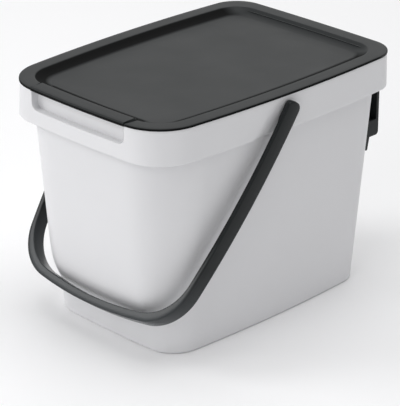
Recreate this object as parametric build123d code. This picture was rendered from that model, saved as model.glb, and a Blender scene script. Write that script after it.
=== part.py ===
from build123d import *
import os
from math import asin, atan2, cos, degrees, hypot, sin

# A countertop compost bin of about six litres, in millimetres.
# +Z is up, +Y points to the back, and the origin is the middle of the base on the worktop.

# Wall sections of the mouldings
wall = 2.0
floor_thickness = 2.4
skirt_wall = 2.0
flange_thickness = 2.2
lid_wall = 1.7

# Overall plan, at the edge of the lid
lid_width = 192.0
lid_length = 272.2
lid_front_corner = 38.6
lid_rear_corner = 27.6
rim_height = 202.2
skirt_inset = 0.5
skirt_height = 28.8

# The four sides are slightly bowed: radius of each bow, and where the long sides are widest
side_bow = 1304.0
front_bow = 1084.0
rear_bow = 2590.0
widest = 19.3

# Plain shell: how far the lid overhangs it at the skirt, and its draft from there to the foot
side_overhang = 6.1
front_overhang = 17.2
rear_overhang = 12.4
shell_draft = 14.3
shell_rear_draft = 8.7
shell_front_corner = 39.3
shell_rear_corner = 23.6
foot_edge_height = 2.0
foot_edge_inset = 1.5
base_ring_width = 9.0
base_recess = 1.2

# Proud front panel that the bail lies round: how far it stands out of the plain shell
panel_side_step = 2.5
panel_front_step = 9.0
panel_corner = 44.3
panel_ramp_near = -7.0
panel_ramp_far = 20.0
panel_ramp_rise = 3.1
panel_gap = 5.0
panel_width_at_pivot = 182.2
panel_narrowing = 0.0895
panel_bottom_bow = 5.0
panel_bottom_corner = 30.0
panel_tail = 9.0
panel_tail_margin = 6.0

# Rear half of the skirt, drawn in at its lower edge so that the bail's ends clear it
skirt_draw_in = 3.1
drawn_in_bow = 39120.0
skirt_ramp_near = 9.0
skirt_ramp_far = 18.0

# Finger pocket in the front of the skirt
pocket_width = 104.0
pocket_depth = 16.2
pocket_corner = 6.0

# Bail pivots
pivot_y = 0.0
pivot_drop = 10.6
stud_radius = 4.0
stud_clearance = 0.05
stud_length = 2.4
stud_end_gap = 0.3
boss_radius = 7.5
boss_root_radius = 9.0
boss_thickness = 2.0
boss_gap = 0.3
boss_side_gap = 0.6

# Bail, measured along its own plane from the pivots
bail_gap = 1.2
bail_arm = 4.0
bail_strap_width = 14.5
bail_grip = 6.8
bail_reach = 202.8
bail_rest_gap = 7.1
bail_grip_bow = 10.3
bail_side_lean = 13.2
bail_arm_bow = 5.0
bail_corner = 41.0
bail_edge_bevel = 0.9

# Lid
lid_edge_bevel = 0.5
lid_dish_depth = 4.5
lid_dish_side_margin = 15.0
lid_dish_front_margin = 13.8
lid_dish_rear_margin = 16.3
lid_dish_front_corner = 24.0
lid_dish_rear_corner = 20.0
lid_dish_edge_bevel = 1.1
lip_depth = 7.0
lip_gap = 0.4
lip_wall = 1.5
tab_width = 100.0
tab_rise = 1.0
tab_drop = 0.8
tab_edge = 2.2

# Hanger under the back of the rim
hanger_width = 142.0
hanger_plate = 2.8
hanger_height = 48.6
hanger_block = 12.5
hanger_lip = 2.4
hanger_lip_headroom = 4.0
hanger_gap = 0.4
hanger_seat = 0.3
hanger_lip_margin = 11.0
hanger_tongue_margin = 3.0
hanger_tongue = 2.2
hanger_tongue_length = 12.0
hanger_corner = 3.0
hanger_cells = 6
hanger_rib = 2.4
screw_hole_radius = 2.2
screw_head_radius = 3.9
screw_spacing = 90.0
screw_rise = 30.5

# Sizes that follow from the ones above
lid_height = rim_height + lid_wall
skirt_bottom = rim_height - skirt_height
pocket_floor = rim_height - pocket_depth
pivot_z = rim_height - pivot_drop
skirt_width = lid_width - 2 * skirt_inset
skirt_front = lid_length / 2 - skirt_inset
shell_width = lid_width - 2 * side_overhang
shell_front = lid_length / 2 - front_overhang
shell_rear = lid_length / 2 - rear_overhang
foot_front = shell_front - shell_draft
foot_rear = shell_rear - shell_rear_draft
draft_angle = degrees(atan2(shell_draft, skirt_bottom))
bail_width = skirt_width + 2 * (bail_gap + bail_arm)
bail_inner_reach = bail_reach - bail_grip
panel_reach = bail_inner_reach - panel_gap
clear_of_all = 0.3 * lid_width
far_away = 2 * (lid_length + rim_height)


def resting_lean():
    """Angle off vertical at which the hanging grip stands clear of the front by its gap."""
    slope = shell_draft / skirt_bottom
    out = bail_inner_reach + slope * bail_strap_width / 2
    down = slope * bail_inner_reach - bail_strap_width / 2
    needed = bail_rest_gap + foot_front + slope * pivot_z
    return asin(needed / hypot(out, down)) - atan2(down, out)


lean = resting_lean()
bail_plane = Plane(
    origin=(0, pivot_y, pivot_z),
    x_dir=(1, 0, 0),
    z_dir=(0, -cos(lean), sin(lean)),
)


def plan(width, front, rear, front_corner, rear_corner, side_radius=side_bow, front_radius=front_bow):
    """Bowed rounded rectangle: four large discs intersected, then its corners rounded."""
    half_width = width / 2
    face = Pos(half_width - side_radius, widest) * Circle(side_radius)
    face &= Pos(side_radius - half_width, widest) * Circle(side_radius)
    face &= Pos(0, front_radius - front) * Circle(front_radius)
    face &= Pos(0, rear - rear_bow) * Circle(rear_bow)
    face = fillet(face.vertices().sort_by(Axis.Y)[:2], front_corner)
    return fillet(face.vertices().sort_by(Axis.Y)[-2:], rear_corner)


def column(low, low_plan, high, high_plan):
    """Solid between two plans at two heights, with straight drafted walls."""
    return loft([Pos(0, 0, low) * low_plan, Pos(0, 0, high) * high_plan], ruled=True)


def between(low, high):
    """Everything between two heights."""
    return Pos(0, 0, (low + high) / 2) * Box(far_away, far_away, high - low)


def shell_plan(inset, height):
    """Plan of the plain shell at a height, inside its walls where there is an inset."""
    share = 1 - height / skirt_bottom
    shrink = shell_draft * share + inset
    return plan(
        shell_width - 2 * shrink,
        shell_front - shrink,
        shell_rear - shell_rear_draft * share - inset,
        shell_front_corner - shrink,
        shell_rear_corner - inset,
        side_bow - shrink,
        front_bow - shrink,
    )


def panel_plan(inset):
    """Plan of the proud panel's block at the skirt's lower edge. Its back stays inside the shell."""
    return plan(
        shell_width + 2 * (panel_side_step - inset),
        shell_front + panel_front_step - inset,
        foot_rear,
        panel_corner - inset,
        shell_rear_corner,
        side_bow - inset,
        front_bow - inset,
    )


def drafted(top_plan, low):
    """Column up to the skirt's lower edge, with the same draft on all its sides."""
    block = extrude(Pos(0, 0, low) * top_plan, skirt_bottom - low)
    sides = block.faces().filter_by(Axis.Z, reverse=True)
    return draft(sides, Plane((0, 0, skirt_bottom)), -draft_angle)


def collar(top_plan):
    """Straight column from the skirt's lower edge up to the rim."""
    return extrude(Pos(0, 0, skirt_bottom) * top_plan, rim_height - skirt_bottom)


def plain_shell(inset, bottom):
    """Plain shell up to the rim. Its back is drafted less than its front and sides."""
    top_plan = shell_plan(inset, skirt_bottom)
    behind = Pos(0, widest + far_away / 2, 0) * Box(far_away, far_away, far_away)
    rear = column(bottom, shell_plan(inset, bottom), skirt_bottom, top_plan) & behind
    return (drafted(top_plan, bottom) - behind) + rear + collar(top_plan)


def bail_outline(width, reach, corner):
    """U-shaped outline in the bail's plane, open towards the pivots and far beyond them."""
    half_top = width / 2 + panel_narrowing * clear_of_all
    half_low = width / 2 - panel_narrowing * reach
    sides = Polyline(
        (half_low, panel_bottom_bow - reach),
        (half_top, clear_of_all),
        (-half_top, clear_of_all),
        (-half_low, panel_bottom_bow - reach),
    )
    face = make_face([sides, ThreePointArc(sides @ 1, (0, -reach), sides @ 0)])
    return fillet(face.vertices().sort_by(Axis.Y)[:2], corner)


def inside_bail(width, reach, near, far, rise, corner):
    """Space in front of the bail's plane, whose edge ramps out between two distances off it."""
    narrow = bail_plane.offset(near) * bail_outline(width, reach, corner)
    wide = bail_plane.offset(far) * bail_outline(width + 2 * rise, reach, corner)
    ramp = loft([narrow, wide], ruled=True)
    open_face = bail_plane.offset(far) * bail_outline(width + clear_of_all, reach + clear_of_all, corner)
    return ramp + extrude(open_face, far_away, dir=bail_plane.z_dir)


def shell_form(inset, bottom):
    """Plain shell with its proud panel: the outer form, or the space inside the walls."""
    width = panel_width_at_pivot - 2 * inset
    reach = panel_reach - inset
    corner = panel_bottom_corner - inset
    near = panel_ramp_near + inset
    region = inside_bail(width, reach, near, panel_ramp_far + inset, panel_ramp_rise, corner)
    tail_outline = bail_outline(width - 2 * panel_tail_margin, reach, corner)
    region += extrude(bail_plane.offset(near) * tail_outline, panel_tail, dir=-bail_plane.z_dir)
    top_plan = panel_plan(inset)
    panel = drafted(top_plan, bottom) + collar(top_plan)
    return plain_shell(inset, bottom) + (panel & region)


def skirt_form(inset, top):
    """Rim block: full plan in front of the bail, drawn in at its lower edge behind it."""
    full = plan(
        skirt_width - 2 * inset,
        skirt_front - inset,
        skirt_front - inset,
        lid_front_corner - skirt_inset - inset,
        lid_rear_corner - skirt_inset - inset,
    )
    drawn_in = plan(
        skirt_width - 2 * (skirt_draw_in + inset),
        skirt_front - skirt_draw_in - inset,
        skirt_front - inset,
        lid_front_corner - skirt_inset - inset,
        lid_rear_corner - skirt_inset - inset,
        drawn_in_bow,
    )
    region = inside_bail(
        skirt_width - 2 * (skirt_draw_in + inset),
        panel_reach,
        skirt_ramp_near + inset,
        skirt_ramp_far + inset,
        skirt_draw_in,
        panel_bottom_corner,
    )
    rear_half = column(skirt_bottom, drawn_in, rim_height, full)
    front_half = extrude(Pos(0, 0, skirt_bottom) * full, rim_height - skirt_bottom)
    return (rear_half + (front_half & region)) & between(skirt_bottom, top)


def pocket_block(grow, floor, front, back, top):
    """Block with rounded lower corners across the front of the rim."""
    half_width = pocket_width / 2 + grow
    middle = (floor + top) / 2
    face = Plane.XZ * Pos(0, middle) * Rectangle(2 * half_width, top - floor)
    face = fillet(face.vertices().sort_by(Axis.Z)[:2], pocket_corner + grow)
    return extrude(Pos(0, front, 0) * face, back - front, dir=(0, 1, 0))


def make_container():
    """Bucket: shell, floor, rim flange, hanging skirt, finger pocket and pivot holes."""
    foot = column(0, shell_plan(foot_edge_inset, 0), foot_edge_height, shell_plan(0, foot_edge_height))
    outer = shell_form(0, foot_edge_height) + foot
    rim = skirt_form(0, rim_height) - skirt_form(skirt_wall, rim_height - flange_thickness)
    pocket_front = -lid_length / 2
    pocket_walls = pocket_block(wall, pocket_floor - wall, pocket_front, -shell_front, rim_height)
    rim += pocket_walls & skirt_form(0, rim_height)
    rim -= pocket_block(0, pocket_floor, pocket_front, -shell_front, rim_height + lid_wall)
    body = outer + rim
    body -= shell_form(wall, floor_thickness)
    ring = shell_plan(base_ring_width, 0)
    body -= extrude(ring, base_recess)
    hole = Cylinder(stud_radius + stud_clearance, 2 * clear_of_all, rotation=(0, 90, 0))
    spot = Cylinder(boss_root_radius + boss_side_gap, clear_of_all, rotation=(0, 90, 0))
    spot_face = bail_width / 2 - bail_arm - boss_thickness - boss_gap
    inner_face = bail_width / 2 - bail_arm - boss_thickness - stud_length - stud_end_gap
    for side in (-1, 1):
        body -= Pos(side * (spot_face + clear_of_all / 2), pivot_y, pivot_z) * spot
        body -= Pos(side * (inner_face + clear_of_all), pivot_y, pivot_z) * hole
    return body


def make_lid():
    """Lid: flat rim with a sunken dish, a lip inside the mouth and a raised finger tab."""
    rim_plan = plan(lid_width, lid_length / 2, lid_length / 2, lid_front_corner, lid_rear_corner)
    dish = []
    for grow in (0, lid_wall):
        dish.append(
            plan(
                lid_width - 2 * (lid_dish_side_margin - grow),
                lid_length / 2 - lid_dish_front_margin + grow,
                lid_length / 2 - lid_dish_rear_margin + grow,
                lid_dish_front_corner + grow,
                lid_dish_rear_corner + grow,
            )
        )
    dish_floor = lid_height - lid_dish_depth
    body = extrude(Pos(0, 0, rim_height) * rim_plan, lid_wall)
    body += extrude(Pos(0, 0, dish_floor - lid_wall) * dish[1], lid_dish_depth)
    body -= extrude(Pos(0, 0, dish_floor) * dish[0], lid_dish_depth)
    rim_top = body.faces().sort_by(Axis.Z)[-1]
    body = chamfer(rim_top.inner_wires()[0].edges(), lid_dish_edge_bevel)
    rim_top = body.faces().sort_by(Axis.Z)[-1]
    body = chamfer(rim_top.outer_wire().edges(), lid_edge_bevel)
    lip_reach = between(rim_height - lip_depth, rim_height)
    lip_outer = wall + lip_gap
    lip = shell_form(lip_outer, floor_thickness) - shell_form(lip_outer + lip_wall, floor_thickness)
    body += lip & lip_reach
    front_rim = rim_plan - Pos(0, lid_length / 2) * Rectangle(lid_width, lid_length)
    tab = front_rim & Rectangle(tab_width, lid_length)
    body += extrude(Pos(0, 0, lid_height - lid_edge_bevel) * (tab - dish[1]), tab_rise + lid_edge_bevel)
    edge = rim_plan - offset(rim_plan, -tab_edge)
    body += extrude(Pos(0, 0, rim_height - tab_drop) * (edge & tab), tab_drop)
    return body


def make_bail():
    """Bail: U-shaped strap that thickens into the grip, with bosses and studs at its ends."""
    top = bail_reach / 2
    faces = []
    for inset, grip_inset in ((0, 0), (bail_arm, bail_grip)):
        half_width = bail_width / 2 - inset
        half_grip = half_width - bail_side_lean
        reach = bail_reach - grip_inset
        grip_end = reach - bail_grip_bow
        half_way = (half_width + half_grip) / 2 + bail_arm_bow
        right = ThreePointArc((half_width, 0), (half_way, -grip_end / 2), (half_grip, -grip_end))
        grip = ThreePointArc((half_grip, -grip_end), (0, -reach), (-half_grip, -grip_end))
        left = ThreePointArc((-half_grip, -grip_end), (-half_way, -grip_end / 2), (-half_width, 0))
        closing = Polyline((-half_width, 0), (-half_width, top), (half_width, top), (half_width, 0))
        face = make_face([right, grip, left, closing])
        faces.append(fillet(face.vertices().sort_by(Axis.Y)[:2], bail_corner))
    strap = extrude(bail_plane * (faces[0] - faces[1]), bail_strap_width / 2, both=True)
    strap = chamfer(long_edges(strap), bail_edge_bevel)
    side_plane = Plane(origin=(0, pivot_y, pivot_z), x_dir=-bail_plane.y_dir, z_dir=(1, 0, 0))
    end = Circle(bail_strap_width / 2)
    length = 2 * bail_reach
    side = end + Pos(length / 2, 0) * Rectangle(length, 2 * bail_strap_width)
    strap &= extrude(side_plane * side, bail_width, both=True)
    boss_face = bail_width / 2 - bail_arm - boss_thickness
    stud_end = boss_face - stud_length
    for turn in (0, 180):
        boss = Cone(boss_radius, boss_root_radius, boss_thickness, rotation=(0, 90, 0))
        stud = Cylinder(stud_radius, stud_length, rotation=(0, 90, 0))
        ends = Pos(boss_face + boss_thickness / 2, 0, 0) * boss
        ends += Pos(stud_end + stud_length / 2, 0, 0) * stud
        strap += Pos(0, pivot_y, pivot_z) * ends.rotate(Axis.Z, turn)
    return strap


def long_edges(strap):
    """Edges that run along the strap, which a hand closes round."""
    return [edge for edge in strap.edges() if edge.length > 2 * bail_strap_width]


def make_hanger():
    """Hanger: screw plate, shelf and lip under the skirt, spacer block and tongue on the shell."""
    back = lid_length / 2
    plate_front = back - hanger_plate
    plate_top = skirt_bottom - hanger_seat
    hanger_bottom = plate_top - hanger_height
    hanger_block_top = hanger_bottom + hanger_block
    hanger_lip_top = rim_height - flange_thickness - hanger_lip_headroom
    screw_height = hanger_bottom + screw_rise
    lip_back = skirt_front - skirt_wall - hanger_gap - hanger_width**2 / (8 * rear_bow)
    lip_front = lip_back - hanger_lip
    near = shell_rear / 2
    block = hanger_box(0, hanger_bottom, hanger_block_top, near, back)
    cells = hanger_cells
    cell = (hanger_width - hanger_rib * (cells + 1)) / cells
    skin = plain_shell(-(hanger_gap + hanger_tongue), 0)
    clear = plain_shell(-hanger_gap, 0)
    for index in range(cells):
        left = -hanger_width / 2 + hanger_rib + index * (cell + hanger_rib)
        space = hanger_box(0, hanger_bottom + hanger_rib, hanger_block_top, near, plate_front)
        space &= Pos(left + cell / 2, 0, 0) * Box(cell, far_away, far_away)
        block -= space - skin
    body = block + hanger_box(0, hanger_bottom, plate_top, plate_front, back)
    body += hanger_box(hanger_lip_margin, plate_top - hanger_plate, plate_top, lip_front, back)
    body += hanger_box(hanger_lip_margin, plate_top - hanger_plate, hanger_lip_top, lip_front, lip_back)
    lower_edge = body.edges().filter_by(Axis.X).group_by(Axis.Y)[-1].sort_by(Axis.Z)[0]
    body = fillet(lower_edge, hanger_corner)
    tongue_bottom = hanger_bottom - hanger_tongue_length
    body += skin & hanger_box(hanger_tongue_margin, tongue_bottom, hanger_block_top, near, back)
    body -= clear
    sink_depth = screw_head_radius - screw_hole_radius
    for side in (-1, 1):
        hole = Cylinder(screw_hole_radius, 4 * hanger_plate, rotation=(90, 0, 0))
        sink = Cone(screw_hole_radius, screw_head_radius, sink_depth, rotation=(90, 0, 0))
        hole += Pos(0, sink_depth / 2, 0) * sink
        body -= Pos(side * screw_spacing / 2, plate_front, screw_height) * hole
    return body


def hanger_box(margin, low, high, front, back):
    """Box across the hanger, less a margin at each end."""
    middle = ((front + back) / 2, (low + high) / 2)
    return Pos(0, middle[0], middle[1]) * Box(hanger_width - 2 * margin, back - front, high - low)


pieces = {
    "container": make_container(),
    "lid": make_lid(),
    "bail_handle": make_bail(),
    "wall_hanger": make_hanger(),
}
os.makedirs("parts", exist_ok=True)
for name, piece in pieces.items():
    export_step(piece, f"parts/{name}.step")
    print(name, round(piece.volume), "mm3 in", len(piece.solids()), "solid")
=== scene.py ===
from math import cos, pi, radians, sin

import bmesh
import bpy
import numpy as np
from mathutils import Matrix, Vector


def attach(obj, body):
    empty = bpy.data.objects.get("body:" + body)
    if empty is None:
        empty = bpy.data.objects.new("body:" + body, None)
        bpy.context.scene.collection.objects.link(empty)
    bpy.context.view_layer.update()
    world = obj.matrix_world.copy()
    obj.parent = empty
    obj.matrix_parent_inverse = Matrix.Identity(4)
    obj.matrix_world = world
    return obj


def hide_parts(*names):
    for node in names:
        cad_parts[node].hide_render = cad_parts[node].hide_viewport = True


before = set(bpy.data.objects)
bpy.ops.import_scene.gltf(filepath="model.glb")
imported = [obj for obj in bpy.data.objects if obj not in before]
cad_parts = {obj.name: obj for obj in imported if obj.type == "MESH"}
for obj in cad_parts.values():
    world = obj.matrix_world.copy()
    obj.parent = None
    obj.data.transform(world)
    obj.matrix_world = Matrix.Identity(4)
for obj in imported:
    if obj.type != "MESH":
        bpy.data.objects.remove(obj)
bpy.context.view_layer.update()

# Camera
# A long lens looks at the bin from its front right corner and a little above,
# as the picture does. The picture is 400 pixels wide and 406 high.
mm = 0.001
camera_azimuth = radians(45.09)
camera_height_angle = radians(24.08)
camera_distance = 1770.62 * mm
look_at = Vector((4.16, -6.21, 83.6)) * mm
picture_height = 406
focal_pixels = 2167.7
sensor = 36.0

back = Vector(
    (
        sin(camera_azimuth) * cos(camera_height_angle),
        -cos(camera_azimuth) * cos(camera_height_angle),
        sin(camera_height_angle),
    )
)
right = Vector((0, 0, 1)).cross(back).normalized()
up = back.cross(right)
camera_data = bpy.data.cameras.new("camera")
camera_data.sensor_fit = "AUTO"
camera_data.sensor_width = sensor
camera_data.lens = focal_pixels * sensor / picture_height
camera_data.clip_end = 50
camera = bpy.data.objects.new("camera", camera_data)
turn = Matrix((right, up, back)).transposed()
camera.matrix_world = Matrix.Translation(look_at + camera_distance * back) @ turn.to_4x4()
bpy.context.collection.objects.link(camera)
bpy.context.scene.camera = camera
bpy.context.scene.view_settings.view_transform = "Standard"


# Studio floor
# A seamless white sweep, which stays white away from the bin and takes only a soft
# shadow. It is matt paper.
def linear(code):
    """Linear colour from an sRGB hex code."""
    parts = [int(code[place : place + 2], 16) / 255 for place in (1, 3, 5)]
    return [part / 12.92 if part <= 0.04045 else ((part + 0.055) / 1.055) ** 2.4 for part in parts] + [1]


def node(tree, kind, inputs=None, **settings):
    """Adds a shader or geometry node with its settings and its links or values."""
    made = tree.nodes.new(kind)
    for name, value in settings.items():
        setattr(made, name, value)
    for name, value in (inputs or {}).items():
        if isinstance(value, bpy.types.NodeSocket):
            tree.links.new(value, made.inputs[name])
        else:
            made.inputs[name].default_value = value
    return made


def material(name):
    """New node material with its principled shader."""
    made = bpy.data.materials.new(name)
    made.use_nodes = True
    return made, made.node_tree, made.node_tree.nodes["Principled BSDF"]


paper, tree, shader = material("matt white paper")
shader.inputs["Base Color"].default_value = linear("#fbfbfc")
shader.inputs["Roughness"].default_value = 0.9
shader.inputs["Specular IOR Level"].default_value = 0.2
floor_half = 12000 * mm
floor_corners = [(x * floor_half, y * floor_half, 0) for x, y in ((-1, -1), (1, -1), (1, 1), (-1, 1))]
floor_mesh = bpy.data.meshes.new("floor")
floor_mesh.from_pydata(floor_corners, [], [(0, 1, 2, 3)])
floor_mesh.materials.append(paper)
floor = bpy.data.objects.new("floor", floor_mesh)
bpy.context.collection.objects.link(floor)


# Studio light
# A white room gives a soft light from all round. A soft box high at the front left makes the
# front face lighter than the side, and a wide one hangs overhead. Places and sizes are in metres.
world = bpy.data.worlds.new("white studio")
world.use_nodes = True
world.node_tree.nodes["Background"].inputs["Color"].default_value = linear("#ffffff")
world.node_tree.nodes["Background"].inputs["Strength"].default_value = 0.30
bpy.context.scene.world = world


def soft_box(name, place, size, power):
    """Square area light that points at the bin."""
    data = bpy.data.lights.new(name, "AREA")
    data.shape = "SQUARE"
    data.size = size
    data.energy = power
    lamp = bpy.data.objects.new(name, data)
    away = Vector(place).normalized()
    lamp.location = Vector(place) + look_at
    lamp.rotation_euler = away.to_track_quat("Z", "Y").to_euler()
    bpy.context.collection.objects.link(lamp)


soft_box("key", (-1.7, -1.5, 1.5), size=1.2, power=23)
soft_box("front", (0.4, -2.2, 1.1), size=1.6, power=11)
soft_box("overhead", (0.2, 0.2, 2.5), size=2.4, power=37)
soft_box("back", (-1.6, 1.8, 1.2), size=1.8, power=8)


# Container
# White polypropylene bucket, injection moulded in one piece with its skirted rim. A panel
# stands proud of the front and rolls in where the bail lies against it. Matt outside.
rim_height = 202.2
skirt_bottom = 173.4
flange_under = 200.0
wall = 2.0
skirt_wall = 2.0

# Large radii that the sides, the front and the back are bowed to.
side_bow = 1304.0
front_bow = 1084.0
rear_bow = 2590.0
widest = 19.3

# The plain shell at its foot, and what it gains on its way up to the skirt.
foot_width = 151.2
foot_front = 104.6
foot_rear = 115.0
foot_front_corner = 27.0
foot_rear_corner = 17.6
draft = 14.3
rear_draft = 8.7
front_corner_gain = 10.0
rear_corner_gain = 6.0
foot_round = 2.5
base_ring = 9.0
base_edge = 0.3
base_recess = 1.2
floor_top = 2.4
floor_round = 3.0

# The proud panel, and its outline as seen square to the bail: it narrows downwards, flares in
# front of the bail, and ends in a bow with rounded corners.
panel_side = 2.5
panel_front = 9.0
panel_corner = 33.0
panel_corner_gain = 17.0
panel_half = 90.6
panel_taper = 0.058
panel_hollow = 0.0002
panel_flare = 3.1
flare_start = -9.0
flare_run = 28.0
panel_end = 196.0
panel_end_bow = 6.0
panel_end_half = 78.0
panel_end_corner = 30.0
# Behind the bail's plane the panel soon ends, and well ahead of it the panel is everywhere. Its
# edge rolls in over a few cells of the grid.
panel_behind = -14.0
panel_ahead = 22.0
roll_softness = 3.3

# The rim and its hanging skirt, which is a little tighter in its corners at the lower edge.
rim = dict(width=191.0, front=135.6, rear=135.6, front_corner=38.1, rear_corner=25.7)
skirt_edge = dict(rim, front_corner=34.6, rear_corner=24.0)
skirt_round = 0.8
edge_round = 0.6
mouth_edge = 0.5

# The trough that the bail lies in, ahead of and behind the bail's own plane.
pivot_height = 191.6
bail_lean = radians(37.79)
trough_depth = 3.1
trough_front = 9.0
trough_front_ramp = 9.0
trough_rear = 13.0
trough_rear_ramp = 5.0

# The finger pocket in the front of the skirt.
pocket_half = 52.0
pocket_floor = 186.0
pocket_corner = 6.0
pocket_depth = 6.4
front_zone = -100.0
far_away = 1000.0

# Points across half of the front, closer together at the pocket's end, and along the rest.
pocket_end_steps = np.array([-6, -4.5, -3, -1.8, -1, -0.4, -0.03, 0.03, 0.1, 0.25, 0.45, 0.65, 1.6, 3, 5])
front_columns = np.r_[np.arange(0, 31, 6), 35, 40, 43, pocket_half + pocket_end_steps]
corner_steps = np.linspace(0, 1, 22)[1:]
side_steps = np.linspace(0, 1, 76)[1:]
rear_steps = np.linspace(1, 0, 14)[1:]
quarter_turn = np.linspace(0, pi / 2, 5)


def corner_centre(side, side_radius, end, end_radius, rounding, towards):
    """Centre of the rounding that touches a side bow and an end bow from inside."""
    near, far = side_radius - rounding, end_radius - rounding
    gap = end - side
    apart = np.hypot(*gap)
    along = (near**2 - far**2 + apart**2) / (2 * apart)
    off = np.sqrt(near**2 - along**2)
    unit = gap / apart
    across = np.array([-unit[1], unit[0]])
    choices = [side + along * unit + off * across, side + along * unit - off * across]
    return max(choices, key=lambda point: point[0] + towards * point[1])


def touch_point(centre, bow_centre, rounding):
    """Point where a rounding meets the bow that it touches from inside."""
    ray = centre - bow_centre
    return centre + rounding * ray / np.hypot(*ray)


def arc(centre, radius, start, end, steps):
    """Points round a centre from the direction of one point to that of another."""
    first = np.arctan2(*(start - centre)[::-1])
    last = np.arctan2(*(end - centre)[::-1])
    angles = first + (last - first) * steps
    return centre + radius * np.c_[np.cos(angles), np.sin(angles)]


def outline(width, front, rear, front_corner, rear_corner, columns=front_columns):
    """Closed ring of plan points, from the middle of the front round by the right side."""
    side = np.array([width / 2 - side_bow, widest])
    fore = np.array([0, front_bow - front])
    aft = np.array([0, rear - rear_bow])
    first = corner_centre(side, side_bow, fore, front_bow, front_corner, -1)
    second = corner_centre(side, side_bow, aft, rear_bow, rear_corner, 1)
    front_end = touch_point(first, fore, front_corner)
    side_start = touch_point(first, side, front_corner)
    side_end = touch_point(second, side, rear_corner)
    rear_end = touch_point(second, aft, rear_corner)
    flat = fore[1] - np.sqrt(front_bow**2 - columns**2)
    rounded = first[1] - np.sqrt(np.maximum(front_corner**2 - np.maximum(columns - first[0], 0) ** 2, 0))
    half = [np.c_[columns, np.where(columns < front_end[0], flat, rounded)]]
    half.append(arc(first, front_corner, half[0][-1], side_start, corner_steps))
    lengths = side_start[1] + side_steps * (side_end[1] - side_start[1])
    half.append(np.c_[side[0] + np.sqrt(side_bow**2 - (lengths - widest) ** 2), lengths])
    half.append(arc(second, rear_corner, side_end, rear_end, corner_steps))
    along = rear_steps * rear_end[0]
    half.append(np.c_[along, aft[1] + np.sqrt(rear_bow**2 - along**2)])
    half = np.concatenate(half)
    return np.concatenate([half, (half * [-1, 1])[-2:0:-1]])


def inset_ring(shape, inset, columns=front_columns):
    """Ring of an outline's sizes, moved inwards."""
    smaller = {name: size - inset for name, size in shape.items()}
    smaller["width"] -= inset
    return outline(**smaller, columns=columns)


def shell_ring(inset, height, side=0.0, front=0.0, corner=foot_front_corner, gain=front_corner_gain):
    """Ring of the plain shell at a height, or of a form that stands proud of it."""
    share = min(height, skirt_bottom) / skirt_bottom
    drafted = draft * share - inset
    return outline(
        foot_width + 2 * (side + drafted),
        foot_front + front + drafted,
        foot_rear + rear_draft * share - inset,
        corner + gain * share - inset,
        foot_rear_corner + rear_corner_gain * share - inset,
    )


def panel_ring(inset, height):
    """Ring that the proud panel lies on at a height."""
    return shell_ring(inset, height, panel_side, panel_front, panel_corner, panel_corner_gain)


def with_height(ring, height):
    """Points of a plan ring set at a height, or at one height for each point."""
    return np.c_[ring, np.zeros(len(ring)) + height]


def blend(first, second, part):
    """What lies a part of the way from the first to the second."""
    return first + (second - first) * part


def eased(part):
    """Part from 0 to 1 with a soft start and a soft end."""
    return part * part * (3 - 2 * part)


def bail_frame(points):
    """Sideways, downwards and outwards distances of points from the bail's plane."""
    down = -points[..., 1] * sin(bail_lean) - (points[..., 2] - pivot_height) * cos(bail_lean)
    out = -points[..., 1] * cos(bail_lean) + (points[..., 2] - pivot_height) * sin(bail_lean)
    return points[..., 0], down, out


def blurred(field, width):
    """Field softened over some cells each way. The columns close up into a ring."""
    reach = int(3 * width)
    weights = np.exp(-0.5 * (np.arange(-reach, reach + 1) / width) ** 2)
    weights /= weights.sum()
    result = sum(weight * np.roll(field, step - reach, 1) for step, weight in enumerate(weights))
    padded = np.pad(result, ((reach, reach), (0, 0)), mode="edge")
    return sum(weight * padded[step : step + len(field)] for step, weight in enumerate(weights))


def on_panel(points):
    """Which points lie within the panel's outline, seen square to the bail."""
    sideways, down, out = bail_frame(points)
    flare = panel_flare * np.clip((out - flare_start) / flare_run, 0, 1)
    half = panel_half - panel_taper * down - panel_hollow * down**2 + flare
    end = panel_end - panel_end_bow * (sideways / panel_end_half) ** 2
    over_side = np.abs(sideways) - half + panel_end_corner
    over_end = down - end + panel_end_corner
    past_corner = np.hypot(np.maximum(over_side, 0), np.maximum(over_end, 0))
    outside = past_corner + np.minimum(np.maximum(over_side, over_end), 0) - panel_end_corner
    return (outside < 0) & (out > panel_behind) | (out > panel_ahead)


def shell_surface(inset, heights):
    """Shell with its proud panel as a grid of points: one row for each height."""
    plain = np.array([with_height(shell_ring(inset, height), height) for height in heights])
    proud = np.array([with_height(panel_ring(inset, height), height) for height in heights])
    reach_out = np.zeros(plain.shape[:2])
    for part in np.linspace(0, 1, 21):
        reach_out = np.where(on_panel(blend(plain, proud, part)), part, reach_out)
    return blend(plain, proud, blurred(reach_out, roll_softness)[..., None])


rim_ring = inset_ring(rim, 0)
rim_across = np.abs(rim_ring[:, 0])
in_front = rim_ring[:, 1] < front_zone


def pocket_line(grow):
    """Height of the pocket's lower edge over each column, up to the rim beside it."""
    beyond = np.maximum(rim_across - (pocket_half - pocket_corner), 0)
    drop = np.sqrt(np.maximum((pocket_corner + grow) ** 2 - beyond**2, 0))
    line = pocket_floor + pocket_corner - drop
    return np.where(in_front & (rim_across < pocket_half + grow), line, rim_height)


def pocket_distance(heights):
    """Distance on the skirt's face from the pocket's outline, for each column."""
    beyond = rim_across - (pocket_half - pocket_corner)
    below = pocket_floor + pocket_corner - heights
    corner = np.hypot(np.maximum(beyond, 0), np.maximum(below, 0)) - pocket_corner
    flat = np.where(below > 0, np.where(beyond > 0, corner, below - pocket_corner), beyond - pocket_corner)
    return np.where(in_front, flat, far_away)


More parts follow.
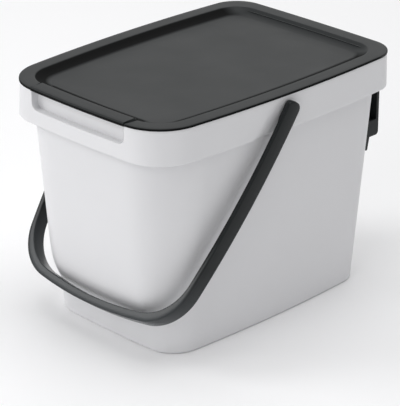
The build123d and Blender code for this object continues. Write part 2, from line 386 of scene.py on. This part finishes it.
def skirt_ring(inset, height):
    """Ring of the skirt, with a shallow trough in each side where the bail lies against it."""
    full = inset_ring(rim, inset)
    share = np.clip((rim_height - height) / (rim_height - skirt_bottom), 0, 1) + np.zeros(len(full))
    ring = blend(full, inset_ring(skirt_edge, inset), share[:, None])
    out = bail_frame(with_height(full, height))[2]
    ahead = 1 - np.clip((out - trough_front) / trough_front_ramp, 0, 1)
    behind = np.clip((out + trough_rear) / trough_rear_ramp, 0, 1)
    ring[:, 0] -= np.sign(ring[:, 0]) * trough_depth * share * eased(ahead * behind)
    return ring


# Underside and foot, then the outside of the shell up to the flange.
rows = [
    with_height(shell_ring(base_ring + base_edge, 0), base_recess),
    with_height(shell_ring(base_ring, 0), base_recess - base_edge),
    with_height(shell_ring(base_ring, 0), base_edge),
    with_height(shell_ring(base_ring - base_edge, 0), 0),
]
for angle in np.linspace(0, pi / 2, 7):
    ring = shell_ring(foot_round * (1 - sin(angle)), foot_round)
    rows.append(with_height(ring, foot_round * (1 - cos(angle))))
under = np.minimum(pocket_line(skirt_wall) - skirt_wall, flange_under)
under = np.where(under > flange_under - skirt_wall, flange_under, under)
lower_heights = np.linspace(foot_round, skirt_bottom, 78)[1:]
upper_heights = np.linspace(skirt_bottom, flange_under, 9)[1:]
for row in shell_surface(0, np.r_[lower_heights, upper_heights]):
    row[:, 2] = np.minimum(row[:, 2], under)
    rows.append(row)

# Inside of the skirt, its rounded lower edge, and its outside up to the rim or the pocket.
for part in (0, 0.33, 0.67, 1.0):
    height = blend(under, skirt_bottom + skirt_round, part)
    rows.append(with_height(skirt_ring(skirt_wall, height), height))
for angle in np.linspace(0, pi, 9)[1:-1]:
    ring = skirt_ring(skirt_wall / 2 * (1 + cos(angle)), skirt_bottom)
    rows.append(with_height(ring, skirt_bottom + skirt_round * (1 - sin(angle))))
top_edge = pocket_line(0)
on_rim = top_edge > rim_height - 0.01
for part in np.linspace(0, 1, 15):
    height = blend(skirt_bottom + skirt_round, top_edge - edge_round, part)
    ring = with_height(skirt_ring(0, height), height)
    near = np.clip(edge_round - pocket_distance(height), 0, edge_round)
    ring[:, 1] += np.where(on_rim, edge_round - np.sqrt(edge_round**2 - near**2), 0)
    rows.append(ring)
for angle in quarter_turn[1:]:
    height = top_edge - edge_round * (1 - sin(angle))
    rows.append(with_height(skirt_ring(edge_round * (1 - cos(angle)), height), height))

# Top of the rim beside the pocket, and the pocket's floor and back wall.
rim_share = 0.6
lip_front = rows[-1]
mouth_ring = shell_surface(0, [rim_height])[0][:, :2]
mouth_ring[in_front] = inset_ring(rim, pocket_depth)[in_front]
level_in = with_height(mouth_ring, top_edge)
for part in (0.35, 0.7, 1.0):
    share = part * np.where(on_rim, rim_share, 1.0)
    rows.append(blend(lip_front, level_in, share[:, None]))
for part in (0.3, 0.65, 1.0):
    over_rim = blend(lip_front, level_in, blend(rim_share, 1.0, part))
    up_pocket = with_height(mouth_ring, blend(top_edge, rim_height, part))
    rows.append(np.where(on_rim[:, None], over_rim, up_pocket))

# Inside of the shell, down to the floor.
inner_heights = np.linspace(rim_height - mouth_edge, floor_top + floor_round, 62)
rows.extend(shell_surface(wall, np.r_[rim_height, inner_heights]))
for angle in quarter_turn[1:]:
    ring = shell_ring(wall + floor_round * (1 - cos(angle)), floor_top + floor_round)
    rows.append(with_height(ring, floor_top + floor_round * (1 - sin(angle))))


def ring_mesh(name, rings, finish):
    """Smooth closed skin over rings with the same number of points, in millimetres."""
    count = len(rings[0])
    faces = []
    for base in range(0, (len(rings) - 1) * count, count):
        for step in range(count):
            after = (step + 1) % count
            faces.append((base + step, base + after, base + count + after, base + count + step))
    faces.append(tuple(range(count))[::-1])
    faces.append(tuple(range((len(rings) - 1) * count, len(rings) * count)))
    mesh = bpy.data.meshes.new(name)
    mesh.from_pydata((np.concatenate(rings) * mm).tolist(), [], faces)
    mesh.materials.append(finish)
    made = bpy.data.objects.new(name, mesh)
    bpy.context.collection.objects.link(made)
    clean = bmesh.new()
    clean.from_mesh(mesh)
    bmesh.ops.remove_doubles(clean, verts=clean.verts, dist=0.001 * mm)
    bmesh.ops.dissolve_degenerate(clean, edges=clean.edges, dist=0.0005 * mm)
    clean.to_mesh(mesh)
    clean.free()
    mesh.shade_smooth()
    mesh.set_sharp_from_angle(angle=radians(38))
    return made


def moulded_plastic(name, grain_size, grain_depth, grain_strength, patch_size, shades, roughness):
    """Moulded plastic with a fine grain, and slow patches in its shade and its sheen."""
    made, tree, shader = material(name)
    place = node(tree, "ShaderNodeTexCoord").outputs["Object"]
    grain = node(tree, "ShaderNodeTexNoise", {"Vector": place, "Scale": 1 / (grain_size * mm), "Detail": 2.0})
    cloud = node(tree, "ShaderNodeTexNoise", {"Vector": place, "Scale": 1 / (patch_size * mm), "Detail": 3.0})
    patch = cloud.outputs["Fac"]
    gloss = node(tree, "ShaderNodeMapRange", {"Value": patch, "To Min": roughness[0], "To Max": roughness[1]})
    colours = {"Factor": patch, "A": linear(shades[0]), "B": linear(shades[1])}
    shade = node(tree, "ShaderNodeMix", colours, data_type="RGBA")
    relief = {"Height": grain.outputs["Fac"], "Strength": grain_strength, "Distance": grain_depth * mm}
    bump = node(tree, "ShaderNodeBump", relief)
    tree.links.new(shade.outputs["Result"], shader.inputs["Base Color"])
    tree.links.new(gloss.outputs["Result"], shader.inputs["Roughness"])
    tree.links.new(bump.outputs["Normal"], shader.inputs["Normal"])
    shader.inputs["IOR"].default_value = 1.49
    return made, tree, shader


# Fine spark-eroded grain of the mould, under half a millimetre, breaks up the sheen, and a
# little light goes into the plastic and comes out beside.
white_plastic, tree, shader = moulded_plastic(
    "moulded white polypropylene",
    grain_size=0.4,
    grain_depth=0.03,
    grain_strength=0.06,
    patch_size=60,
    shades=("#e4e4e6", "#e8e8ea"),
    roughness=(0.36, 0.46),
)
shader.inputs["Subsurface Weight"].default_value = 0.15
shader.inputs["Subsurface Radius"].default_value = (2 * mm, 2 * mm, 2 * mm)
shader.inputs["Subsurface Scale"].default_value = 1.0

container = ring_mesh("container_moulding", rows, white_plastic)
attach(container, "container")
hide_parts("container")


# Lid
# Dark grey polypropylene lid, injection moulded with a sunken dish. Its lip drops into the
# mouth, and the middle of its front edge is a finger tab, a little higher than the border.
lid_top = 203.9
lid_edge = dict(width=192.0, front=136.1, rear=136.1, front_corner=38.6, rear_corner=26.2)
lid_edge_round = 0.6
# Its thin edge hangs a little below the top of the rim, just outside it.
lid_under = 0.44
lid_drip = 0.3
drip_edge = 0.1

# The dish has a gentle slope that is rounded at its top and runs out into the floor.
dish_edge = dict(width=169.4, front=124.8, rear=124.0, front_corner=28.0, rear_corner=24.0)
dish_depth = 4.5
dish_slope = radians(30)
dish_round = 2.5
dish_fillet = 20.0
dish_wall = 1.7
dish_under = 0.6

# The lip follows the mouth at its widest, inside the proud panel, with a gap to the wall. Behind
# the bail the mouth is narrower, and there the lip as drawn lies in the container's wall.
mouth = dict(width=184.8, front=127.9, rear=123.7, front_corner=44.0, rear_corner=23.6)
lip_gap = 0.9
lip_wall = 1.5
lip_bottom = 195.2

# The tab is parted from the border by a slit at each end.
tab_half = 52.6
tab_rise = 1.0
tab_drop = 0.8
tab_slit = 0.6
tab_slit_middle = 52.95
tab_slit_depth = 1.6
# Points across half of the front. The edge and the dish have as many, so that their rings join.
tab_end_steps = np.array([-1, -0.03, 0.03, 0.1, 0.6, 0.66, 2.4, 4.4])
tab_columns = np.r_[np.arange(0, 41, 8), 45, 48, 50, tab_half + tab_end_steps]
dish_columns = np.r_[np.arange(0, 41, 8), 45, 48, np.arange(50, 54), np.arange(54, 56.1, 0.5)]


def lid_ring(inset):
    """Ring of the lid's outer edge."""
    return inset_ring(lid_edge, inset, tab_columns)


def dish_ring(inset):
    """Ring of the sunken dish, from its edge at the lid's top inwards."""
    return inset_ring(dish_edge, inset, dish_columns)


def lip_ring(inset):
    """Ring of the lip, from the outside of the container's wall inwards."""
    return inset_ring(mouth, inset, tab_columns)


dish_floor = lid_top - dish_depth
dish_under_floor = dish_floor - dish_wall
straight_drop = dish_depth - (dish_round + dish_fillet) * (1 - cos(dish_slope))
dish_run = (dish_round + dish_fillet) * sin(dish_slope) + straight_drop / np.tan(dish_slope)
lip_outside = wall + lip_gap
lip_inside = lip_outside + lip_wall
lid_columns = lid_ring(0)
lid_across = np.abs(lid_columns[:, 0])
lid_front = lid_columns[:, 1] < front_zone
on_tab = lid_front & (lid_across < tab_half)
in_slit = lid_front & (np.abs(lid_across - tab_slit_middle) < tab_slit / 2)
drip = rim_height - lid_drip - (tab_drop - lid_drip) * on_tab
lid_surface = lid_top + tab_rise * on_tab - tab_slit_depth * in_slit

# Underside from the middle of the dish outwards, then the edge, the border and the dish.
rows = [
    with_height(dish_ring(dish_run - 1), dish_under_floor),
    with_height(dish_ring(dish_run / 3), dish_under_floor + dish_depth / 3),
    with_height(dish_ring(-dish_under), rim_height),
    with_height(lip_ring(lip_inside), rim_height),
    with_height(lip_ring(lip_inside), lip_bottom),
    with_height(lip_ring(lip_outside), lip_bottom),
    with_height(lip_ring(lip_outside), rim_height),
    with_height(lid_ring(lid_under), rim_height),
    with_height(lid_ring(lid_under), drip),
    with_height(lid_ring(drip_edge), drip),
    with_height(lid_ring(0), drip + drip_edge),
]
for angle in quarter_turn:
    ring = lid_ring(lid_edge_round * (1 - cos(angle)))
    rows.append(with_height(ring, lid_surface - lid_edge_round * (1 - sin(angle))))
for part in (0.33, 0.67, 1.0):
    ring = blend(lid_ring(lid_edge_round), dish_ring(0), part)
    rows.append(with_height(ring, lid_surface))
level = lid_surface - lid_top
for angle in np.linspace(0, dish_slope, 5)[1:]:
    inset = dish_round * sin(angle)
    drop = dish_round * (1 - cos(angle))
    rows.append(with_height(dish_ring(inset), lid_top - drop + level * (1 - inset / dish_run)))
for angle in np.linspace(dish_slope, 0, 14):
    inset = dish_run - dish_fillet * sin(angle)
    rise = dish_fillet * (1 - cos(angle))
    rows.append(with_height(dish_ring(inset), dish_floor + rise + level * (1 - inset / dish_run)))

# The grain is coarser here, so that the big flat dish is matt with a soft, even sheen.
dark_plastic, tree, shader = moulded_plastic(
    "moulded charcoal polypropylene",
    grain_size=0.5,
    grain_depth=0.04,
    grain_strength=0.08,
    patch_size=40,
    shades=("#1d2021", "#202324"),
    roughness=(0.42, 0.52),
)
shader.inputs["Specular IOR Level"].default_value = 0.28

# The dish's slope and the lid's thin edge are painted nearly black and drawn rougher: painted
# shade that stands in for the dark room they would reflect. The slope at the back is as light as
# the border.
painted_dark_fade = 0.6
painted_dark_floor_gap = 0.02
painted_dark_top_gap = 0.15
painted_dark_rear_start = 114.0
painted_dark_rear_full = 104.0
# Painted shade mask: full between the floor's and the top's fades, forward of the back, where it fades out.
place = node(tree, "ShaderNodeTexCoord").outputs["Object"]
spot = node(tree, "ShaderNodeSeparateXYZ", {"Vector": place})
floor_edge = {"From Min": (dish_floor + painted_dark_floor_gap) * mm, "From Max": (dish_floor + painted_dark_fade) * mm}
above = node(tree, "ShaderNodeMapRange", {"Value": spot.outputs["Z"], **floor_edge})
border_edge = {"From Min": (lid_top - painted_dark_top_gap) * mm, "From Max": (lid_top - painted_dark_fade) * mm}
below = node(tree, "ShaderNodeMapRange", {"Value": spot.outputs["Z"], **border_edge})
rear_edge = {"From Min": painted_dark_rear_start * mm, "From Max": painted_dark_rear_full * mm}
ahead = node(tree, "ShaderNodeMapRange", {"Value": spot.outputs["Y"], **rear_edge})
band = {0: above.outputs["Result"], 1: below.outputs["Result"]}
painted_dark = node(tree, "ShaderNodeMath", band, operation="MULTIPLY")
band = {0: painted_dark.outputs["Value"], 1: ahead.outputs["Result"]}
painted_dark = node(tree, "ShaderNodeMath", band, operation="MULTIPLY").outputs["Value"]
border_shade = shader.inputs["Base Color"].links[0].from_socket
border_gloss = shader.inputs["Roughness"].links[0].from_socket
# The painted shade's nearly black colour, and a rougher surface under it.
colours = {"Factor": painted_dark, "A": border_shade, "B": linear("#060707")}
shade = node(tree, "ShaderNodeMix", colours, data_type="RGBA")
gloss = node(tree, "ShaderNodeMapRange", {"Value": painted_dark, "To Min": border_gloss, "To Max": 1.0})
tree.links.new(shade.outputs["Result"], shader.inputs["Base Color"])
tree.links.new(gloss.outputs["Result"], shader.inputs["Roughness"])

lid = ring_mesh("lid_moulding", rows, dark_plastic)
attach(lid, "lid")
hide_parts("lid")


# Bail
# The same dark polypropylene, one springy strap with studs that snap into the rim. Its arms
# are thin, and the middle thickens into a grip.
# The copy keeps the lid's painted shade on the dish's slope and thin edge, which lies higher than any part of
# the strap.
smooth_plastic = dark_plastic.copy()
smooth_plastic.name = "smooth charcoal polypropylene"

# The strap comes from a smoother mould than the lid, and shows a clearer sheen of the light.
tree = smooth_plastic.node_tree
shader = tree.nodes["Principled BSDF"]
tree.links.remove(shader.inputs["Roughness"].links[0])
shader.inputs["Roughness"].default_value = 0.24
shader.inputs["Specular IOR Level"].default_value = 0.2

# The grip is painted a little lighter than the arms: a painted sheen of the light on its front.
light_below = 42.0
dark_above = 80.0
place = node(tree, "ShaderNodeTexCoord").outputs["Object"]
spot = node(tree, "ShaderNodeSeparateXYZ", {"Vector": place})
grip_zone = {"From Min": dark_above * mm, "From Max": light_below * mm}
painted_sheen = node(tree, "ShaderNodeMapRange", {"Value": spot.outputs["Z"], **grip_zone})
arm_shade = shader.inputs["Base Color"].links[0].from_socket
# Painted sheen: a lighter colour, mixed in from the arms down to the grip.
colours = {"Factor": painted_sheen.outputs["Result"], "A": arm_shade, "B": linear("#3e4143")}
shade = node(tree, "ShaderNodeMix", colours, data_type="RGBA")
tree.links.new(shade.outputs["Result"], shader.inputs["Base Color"])

bail_half = 100.7
bail_arm = 4.0
bail_grip = 6.8
bail_reach = 202.8
bail_grip_bow = 10.3
bail_grip_half = 87.3
bail_arm_bow = 5.0
bail_corner = 41.0
bail_arm_width = 14.6
bail_grip_width = 13.0
bail_edge = 0.9
bail_end = 5.3
bail_end_corner = 5.2
pad_inside = 95.8
pad_length = 15.0
pad_ramp = 2.5
boss_radius = 4.8
boss_face = 94.7
stud_radius = 4.0
stud_end = 92.3
sunk_in = 1.0


def circle_through(first, second, third):
    """Centre and radius of the circle through three points."""
    chords = np.array([second - first, third - second])
    middles = ((first + second) / 2, (second + third) / 2)
    centre = np.linalg.solve(chords, [chord @ middle for chord, middle in zip(chords, middles)])
    return centre, np.hypot(*(first - centre))


def bail_curve(inset, grip_inset):
    """Half of the strap's edge in its own plane, from the grip's middle up to the pivot."""
    top = np.array([bail_half - inset, 0])
    reach = bail_reach - grip_inset
    bottom = np.array([0, -reach])
    low = np.array([bail_grip_half - inset, bail_grip_bow - reach])
    middle = np.array([(top[0] + low[0]) / 2 + bail_arm_bow, low[1] / 2])
    side, side_radius = circle_through(top, middle, low)
    end, end_radius = circle_through(low, bottom, low * [-1, 1])
    centre = corner_centre(side, side_radius, end, end_radius, bail_corner, -1)
    grip_end = touch_point(centre, end, bail_corner)
    arm_end = touch_point(centre, side, bail_corner)
    grip = arc(end, end_radius, bottom, grip_end, np.linspace(0, 1, 24))
    corner = arc(centre, bail_corner, grip_end, arm_end, np.linspace(0, 1, 25)[1:])
    arm = arc(side, side_radius, arm_end, top, np.linspace(0, 1, 60)[1:])
    return np.concatenate([grip, corner, arm])


def strap_section(outside, inside, half_width):
    """Rounded section between two edge points of the strap: plane points and distances off it."""
    thickness = np.hypot(*(outside - inside))
    inwards = (inside - outside) / thickness
    # Where the strap is thin or narrow, its edges are less rounded.
    rounding = min(bail_edge, 0.45 * thickness, 0.8 * half_width + 0.001)
    loop = []
    corners = ((outside, 1, -1), (outside, 1, 1), (inside, -1, 1), (inside, -1, -1))
    for turn, (edge, direction, sideways) in enumerate(corners):
        centre = edge + direction * rounding * inwards
        lateral = sideways * (half_width - rounding)
        for angle in np.linspace(0, pi / 2, 4) + turn * pi / 2:
            loop.append((centre - rounding * sin(angle) * inwards, lateral - rounding * cos(angle)))
    return loop


pivot = np.array([0, 0, pivot_height])
strap_up = np.array([0, sin(bail_lean), cos(bail_lean)])
strap_out = np.array([0, -cos(bail_lean), sin(bail_lean)])
outer_edge = bail_curve(0, 0)
inner_edge = bail_curve(bail_arm, bail_grip)
half_widths = (bail_arm_width - (bail_grip_width - bail_arm_width) * outer_edge[:, 1] / bail_reach) / 2

# The arms end in a rounded rectangle above the pivot. Its last section keeps a little width.
end_angles = np.linspace(0, 0.985 * pi / 2, 9)
end_rise = bail_end - bail_end_corner * (1 - np.sin(end_angles))
above_pivot = np.c_[np.zeros(len(end_angles)), end_rise]
outer_edge = np.concatenate([outer_edge, outer_edge[-1] + above_pivot])
inner_edge = np.concatenate([inner_edge, inner_edge[-1] + above_pivot])
end_widths = bail_arm_width / 2 - bail_end_corner * (1 - np.cos(end_angles))
half_widths = np.concatenate([half_widths, end_widths])

# A pad on the inside makes the end thicker.
thicker = eased(np.clip((outer_edge[:, 1] + pad_length) / pad_ramp, 0, 1))
inner_edge[:, 0] -= (bail_half - bail_arm - pad_inside) * thicker
rings = []
for outside, inside, half_width in zip(outer_edge, inner_edge, half_widths):
    section = strap_section(outside, inside, half_width)
    ring = [pivot + [x, 0, 0] + along * strap_up + lateral * strap_out for (x, along), lateral in section]
    rings.append(np.array(ring))
left = [ring * [-1, 1, 1] for ring in rings[1:]]
bail = ring_mesh("bail_strap", rings[::-1] + left, smooth_plastic)


def number_inputs(tree, names):
    """Gives a geometry tree its output and a length input for each name, and returns the inputs."""
    for name in names:
        tree.interface.new_socket(name, in_out="INPUT", socket_type="NodeSocketFloat")
    tree.interface.new_socket("Geometry", in_out="OUTPUT", socket_type="NodeSocketGeometry")
    return tree.nodes.new("NodeGroupInput").outputs


def mesh_from_tree(name, tree, sizes):
    """Object with the plain mesh that a geometry tree makes from its sizes."""
    made = bpy.data.objects.new(name, bpy.data.meshes.new(name))
    bpy.context.collection.objects.link(made)
    modifier = made.modifiers.new(name, "NODES")
    modifier.node_group = tree
    for socket in tree.interface.items_tree:
        if socket.in_out == "INPUT":
            modifier[socket.identifier] = sizes[socket.name]
    finished = made.evaluated_get(bpy.context.evaluated_depsgraph_get())
    mesh = bpy.data.meshes.new_from_object(finished)
    made.modifiers.remove(modifier)
    made.data = mesh
    return made


# A stud on a wider boss, both turned pieces laid along the width, is made once and set at each
# end of the strap, the second time with half a turn. Each is sunk a little into what carries it.
# The studs end inside the container's skirt, which is drawn without holes for them.
boss_back = bail_half - bail_arm + sunk_in
stud_back = boss_face + sunk_in
stud_sizes = {
    "Boss radius": boss_radius * mm,
    "Boss length": (boss_back - boss_face) * mm,
    "Boss middle": (boss_back + boss_face) / 2 * mm,
    "Stud radius": stud_radius * mm,
    "Stud length": (stud_back - stud_end) * mm,
    "Stud middle": (stud_back + stud_end) / 2 * mm,
    "Pivot height": pivot_height * mm,
}
studs = bpy.data.node_groups.new("bail studs", "GeometryNodeTree")
given = number_inputs(studs, stud_sizes)
pair = node(studs, "GeometryNodeJoinGeometry")
for name in ("Stud", "Boss"):
    size = {"Vertices": 48, "Radius": given[name + " radius"], "Depth": given[name + " length"]}
    turned = node(studs, "GeometryNodeMeshCylinder", size)
    place = node(studs, "ShaderNodeCombineXYZ", {"X": given[name + " middle"], "Z": given["Pivot height"]})
    laying = {"Geometry": turned.outputs["Mesh"], "Translation": place.outputs["Vector"]}
    laid = node(studs, "GeometryNodeTransform", {**laying, "Rotation": (0, pi / 2, 0)})
    studs.links.new(laid.outputs["Geometry"], pair.inputs["Geometry"])
both_sides = node(studs, "GeometryNodeMeshLine", {"Count": 2, "Offset": (0, 0, 0)})
index = node(studs, "GeometryNodeInputIndex")
half_turn = node(studs, "ShaderNodeMath", {0: index.outputs["Index"], 1: pi}, operation="MULTIPLY")
facing = node(studs, "ShaderNodeCombineXYZ", {"Z": half_turn.outputs["Value"]})
placing = {"Points": both_sides.outputs["Mesh"], "Instance": pair.outputs["Geometry"]}
placed = node(studs, "GeometryNodeInstanceOnPoints", {**placing, "Rotation": facing.outputs["Vector"]})
whole = node(studs, "GeometryNodeRealizeInstances", {"Geometry": placed.outputs["Instances"]})
coating = {"Geometry": whole.outputs["Geometry"], "Material": smooth_plastic}
coated = node(studs, "GeometryNodeSetMaterial", coating)
node(studs, "NodeGroupOutput", {"Geometry": coated.outputs["Geometry"]})
bail_studs = mesh_from_tree("bail_studs", studs, stud_sizes)
bail_studs.data.shade_smooth()
bail_studs.data.set_sharp_from_angle(angle=radians(38))
bail_studs.parent = bail
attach(bail, "bail")
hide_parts("bail_handle")


# Hanger
# Dark polypropylene bracket for two screws, moulded in one piece. Its lip hooks up inside the
# rear of the rim. Its lower edge is let down a little, and a gusset is added below its plate.
hanger_lowered = 1.5
lower_edge_from = 124.0
lower_edge_to = 130.0
gusset_half = 69.5
# The gusset's profile seen from the side: distance behind the bin's middle, and height.
gusset = [
    (122.2, 137.0),
    (124.2, 137.0),
    (127.4, 123.2),
    (127.0, 121.6),
    (124.9, 111.6),
    (124.2, 111.0),
    (122.2, 111.4),
]

hanger_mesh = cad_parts["wall_hanger"].data.copy()
merge = bmesh.new()
merge.from_mesh(hanger_mesh)
bmesh.ops.remove_doubles(merge, verts=merge.verts, dist=0.001 * mm)
bmesh.ops.dissolve_limit(merge, angle_limit=radians(1), verts=merge.verts, edges=merge.edges)
for corner in merge.verts:
    if lower_edge_from * mm < corner.co.z < lower_edge_to * mm:
        corner.co.z -= hanger_lowered * mm
left_end, right_end = (
    [merge.verts.new((side * gusset_half * mm, y * mm, z * mm)) for y, z in gusset] for side in (-1, 1)
)
merge.faces.new(left_end)
merge.faces.new(right_end[::-1])
for step in range(len(gusset)):
    after = (step + 1) % len(gusset)
    merge.faces.new((right_end[step], right_end[after], left_end[after], left_end[step]))
merge.normal_update()
merge.to_mesh(hanger_mesh)
merge.free()
hanger_mesh.materials.clear()
hanger_mesh.materials.append(dark_plastic)
hanger = bpy.data.objects.new("hanger_bracket", hanger_mesh)
bpy.context.collection.objects.link(hanger)
hanger_mesh.shade_smooth()
hanger_mesh.set_sharp_from_angle(angle=radians(30))
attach(hanger, "hanger")
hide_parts("wall_hanger")
